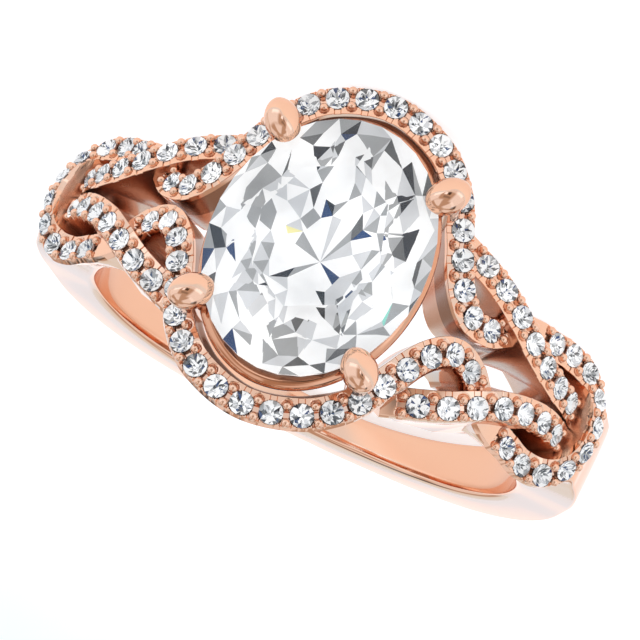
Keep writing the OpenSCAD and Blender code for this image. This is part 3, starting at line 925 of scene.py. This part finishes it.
def oval_piece(seed=11):
    """The oval stone. Its crown is rings of points round 16 directions, even and odd ones at their own sizes
    and heights. Its back is a cone of irregular facets: rings of ever fewer points, each point moved a little
    round the ring and up or down the cone by chance, with triangles between each ring and the next."""
    chance = np.random.default_rng(seed)
    a = np.arange(CROWN_POINTS) * 2 * np.pi / CROWN_POINTS
    odd = np.arange(CROWN_POINTS) % 2 == 1
    turn = np.arange(GIRDLE_POINTS) / GIRDLE_POINTS
    edge = np.arange(GIRDLE_POINTS) * 2 * np.pi / GIRDLE_POINTS

    def back_ring(k, depth, count):
        turn = (np.arange(count) + 0.4 + chance.uniform(-CHANCE_ROUND, CHANCE_ROUND, count)) / count
        moved = chance.uniform(-CHANCE_IN, CHANCE_IN, count) * min(1, 4 * k)
        return turn, oval_ring(2 * np.pi * turn, k + moved, -OVAL_PAVILION * (depth - moved))

    table = oval_ring(a, np.where(odd, 0.58 * math.cos(math.pi / 8), 0.58), OVAL_CROWN)
    kites = oval_ring(a, np.where(odd, 0.74, 0.8), np.where(odd, 0.63, 0.5) * OVAL_CROWN)
    upper, lower = oval_ring(edge, 1, GIRDLE_HALF), oval_ring(edge, 1, -GIRDLE_HALF)
    turns, rings = zip((turn, lower), *[back_ring(k, depth, int(count)) for k, depth, count in BACK_RINGS])
    culet = np.array([[0, 0, -OVAL_PAVILION]])
    points = np.concatenate([table, kites, upper, *rings, culet]) + np.array([0, 0, OVAL_Z])
    starts = len(table) + len(kites) + len(upper) + np.cumsum([0] + [len(ring) for ring in rings])
    numbers = [np.arange(first, past).tolist() for first, past in zip(starts[:-1], starts[1:])]
    faces = oval_crown()
    crown_count = len(faces)
    for outer, inner, outer_turn, inner_turn in zip(numbers, numbers[1:], turns, turns[1:]):
        faces += zipped(outer, inner, outer_turn, inner_turn)
    last = numbers[-1]
    faces += [[p, len(points) - 1, q] for p, q in zip(last, last[1:] + last[:1])]
    is_back = np.arange(len(faces)) >= crown_count
    stones_piece("oval_stone", points, faces, "centre_stone", "centre_stone", is_back, OVAL_SHARES,
                 glints=0.03, seed=8)


ribbon_grains = ribbon_piece()
branch_grains = branch_pieces()
grains_piece(ribbon_grains, branch_grains)
band_piece()
rail_piece()
claw_pieces()
small_stones("halo_brilliants", strand_frames(ribbon_at, halo_s), ONCE, "halo_stones", seed=21)
small_stones("loop_brilliants", strand_frames(ribbon_at, loop_s), ONCE, "loop_stones", seed=22)
small_stones("branch_brilliants", strand_frames(branch_at, branch_s), FOUR_TIMES, "branch_stones", seed=23)
oval_piece()


# Floor: its half size, and where its tone and its glowing, painted light, begin to change and have changed,
# in metres from the middle
FLOOR_HALF = 0.6
FLOOR_NEAR = 0.024
FLOOR_FAR = 0.055


def floor_piece():
    """A wide pale floor that glows softly, white round the ring and slightly cooler far from it. Its glowing
    is painted light, stronger round the ring, that fills in the ring's shadow on it.
    """
    mesh = bpy.data.meshes.new("floor")
    corners = [(x * FLOOR_HALF, y * FLOOR_HALF, 0) for x, y in ((-1, -1), (1, -1), (1, 1), (-1, 1))]
    mesh.from_pydata(corners, [], [(0, 1, 2, 3)])
    pale = {"Roughness": 0.6, "Emission Strength": 1.0}
    material, tree, shader = principled("pale_floor", (0.93, 0.93, 0.93), **pale)
    place = tree.nodes.new("ShaderNodeTexCoord")
    reach = tree.nodes.new("ShaderNodeVectorMath")
    reach.operation = "LENGTH"
    tree.links.new(place.outputs["Object"], reach.inputs[0])
    far = spread(tree, reach.outputs["Value"], FLOOR_NEAR, FLOOR_FAR, smooth=True)
    base = mixed(tree, far, (0.76, 0.76, 0.76), (0.66, 0.88, 0.98))
    # painted light: the floor glows, more strongly round the ring
    painted_glow = mixed(tree, far, (0.57, 0.57, 0.57), (0.4, 0.42, 0.5))
    tree.links.new(base, shader.inputs["Base Color"])
    tree.links.new(painted_glow, shader.inputs["Emission Color"])
    mesh.materials.append(material)
    floor = bpy.data.objects.new("floor", mesh)
    bpy.context.scene.collection.objects.link(floor)


# Softboxes. Columns: azimuth from +Y towards +X, half width, height, half height and edge, all in degrees,
# and strength
SOFTBOXES = (
    (0, 60, -1, 7, 8, 0.6), (-9, 5, 17, 5, 2, 1.2), (-62, 26, 20, 16, 14, 0.8), (60, 24, 22, 17, 14, 0.8),
    (112, 16, 14, 13, 8, 0.6), (-118, 16, 16, 14, 8, 0.6), (-30, 20, 64, 12, 12, 0.7),
    (75, 22, 60, 11, 12, 0.7), (-125, 24, 55, 10, 10, 0.6), (150, 26, 52, 9, 10, 0.6),
)
# The large cool window behind the ring. Same columns, without the strength
RIM_BOX = (180, 22, 8, 18, 9)
# Dark flags between them. Same columns as the softboxes
FLAGS = (
    (5, 5, 17, 5, 2, 0.5), (5, 14, 33, 3, 3, 0.25), (-150, 14, 38, 8, 5, 0.45), (100, 10, 40, 7, 5, 0.45),
)
# The room's own strength, the least that the flags leave of it, and the tones of the three kinds of light
ROOM_STRENGTH = 0.6
ROOM_LEAST = 0.03
ROOM_TONE = (1, 0.88, 0.78)
SOFTBOX_TONE = (0.62, 0.95, 1.3)
RIM_TONE = (0.3, 0.6, 0.8)


def light_box(tree, azimuth, height, at, half_width, up, half_height, edge):
    """1 inside a box in the sky and 0 outside it, with a smooth edge."""
    turn = math_node(tree, "WRAP", math_node(tree, "SUBTRACT", azimuth, at), 180.0, -180.0)
    lift = math_node(tree, "SUBTRACT", height, up)
    past_side = math_node(tree, "SUBTRACT", math_node(tree, "ABSOLUTE", turn), half_width)
    past_top = math_node(tree, "SUBTRACT", math_node(tree, "ABSOLUTE", lift), half_height)
    over = math_node(tree, "MAXIMUM", past_side, past_top)
    return spread(tree, over, edge, 0.0, smooth=True)


def background(tree, strength, tone):
    """A Background shader of one tone."""
    node = tree.nodes.new("ShaderNodeBackground")
    node.inputs["Color"].default_value = (*tone, 1)
    tree.links.new(strength, node.inputs["Strength"])
    return node.outputs[0]


def added(tree, first, second):
    """The sum of two shaders."""
    node = tree.nodes.new("ShaderNodeAddShader")
    tree.links.new(first, node.inputs[0])
    tree.links.new(second, node.inputs[1])
    return node.outputs[0]


def world_light():
    """Soft studio light: a dim warm room with cool softboxes, one cool window and a few dark flags, and soft
    edges on all of these."""
    world = bpy.data.worlds.new("studio")
    bpy.context.scene.world = world
    world.use_nodes = True
    tree = world.node_tree
    place = tree.nodes.new("ShaderNodeTexCoord")
    split = tree.nodes.new("ShaderNodeSeparateXYZ")
    tree.links.new(place.outputs["Generated"], split.inputs[0])
    x, y, z = split.outputs
    height = math_node(tree, "DEGREES", math_node(tree, "ARCSINE", z))
    azimuth = math_node(tree, "DEGREES", math_node(tree, "ARCTAN2", x, y))
    room, boxes = ROOM_STRENGTH, 0.0
    for *where, strength in FLAGS:
        room = math_node(tree, "MULTIPLY_ADD", light_box(tree, azimuth, height, *where), -strength, room)
    for *where, strength in SOFTBOXES:
        boxes = math_node(tree, "MULTIPLY_ADD", light_box(tree, azimuth, height, *where), strength, boxes)
    rim = light_box(tree, azimuth, height, *RIM_BOX)
    room_light = background(tree, math_node(tree, "MAXIMUM", room, ROOM_LEAST), ROOM_TONE)
    light = added(tree, room_light, background(tree, boxes, SOFTBOX_TONE))
    light = added(tree, light, background(tree, rim, RIM_TONE))
    tree.links.new(light, tree.nodes["World Output"].inputs["Surface"])


# The photograph's camera, in the ring's own frame: turn about Z, angle over the XY plane, roll, distance in
# millimetres, pixels for each millimetre there, the picture's size, where the frame's origin falls in it, and
# the sensor's width in millimetres
CAM_TURN = math.radians(25.39)
CAM_RISE = math.radians(72.04)
CAM_ROLL = math.radians(-0.92)
CAM_D = 74.9
PX_PER_MM = 31.2
PICTURE = 640
ORIGIN_PX = (320.16, 257.0)
SENSOR = 36


def camera():
    """The camera and its directions in the picture: right, down and towards the viewer."""
    ct, st = math.cos(CAM_TURN), math.sin(CAM_TURN)
    ce, se = math.cos(CAM_RISE), math.sin(CAM_RISE)
    level_right = np.array([ct, st, 0.0])
    level_down = np.array([st * se, -ct * se, -ce])
    toward = np.array([st * ce, -ct * ce, se])
    right = math.cos(CAM_ROLL) * level_right + math.sin(CAM_ROLL) * level_down
    down = -math.sin(CAM_ROLL) * level_right + math.cos(CAM_ROLL) * level_down
    off_x, off_y = ((px - PICTURE / 2) / PX_PER_MM for px in ORIGIN_PX)
    data = bpy.data.cameras.new("camera")
    data.sensor_width = SENSOR
    data.lens = CAM_D * PX_PER_MM / PICTURE * SENSOR
    data.clip_start = 0.001
    data.clip_end = 10
    cam = bpy.data.objects.new("camera", data)
    bpy.context.scene.collection.objects.link(cam)
    matrix = np.eye(4)
    matrix[:3, :3] = np.stack([directed(right), directed(-down), directed(toward)], 1)
    matrix[:3, 3] = placed(CAM_D * toward - (off_x * right + off_y * down))
    cam.matrix_world = Matrix(matrix.tolist())
    bpy.context.scene.camera = cam


floor_piece()
world_light()
camera()
bpy.context.scene.cycles.glossy_bounces = 8
bpy.context.scene.view_settings.view_transform = "Standard"
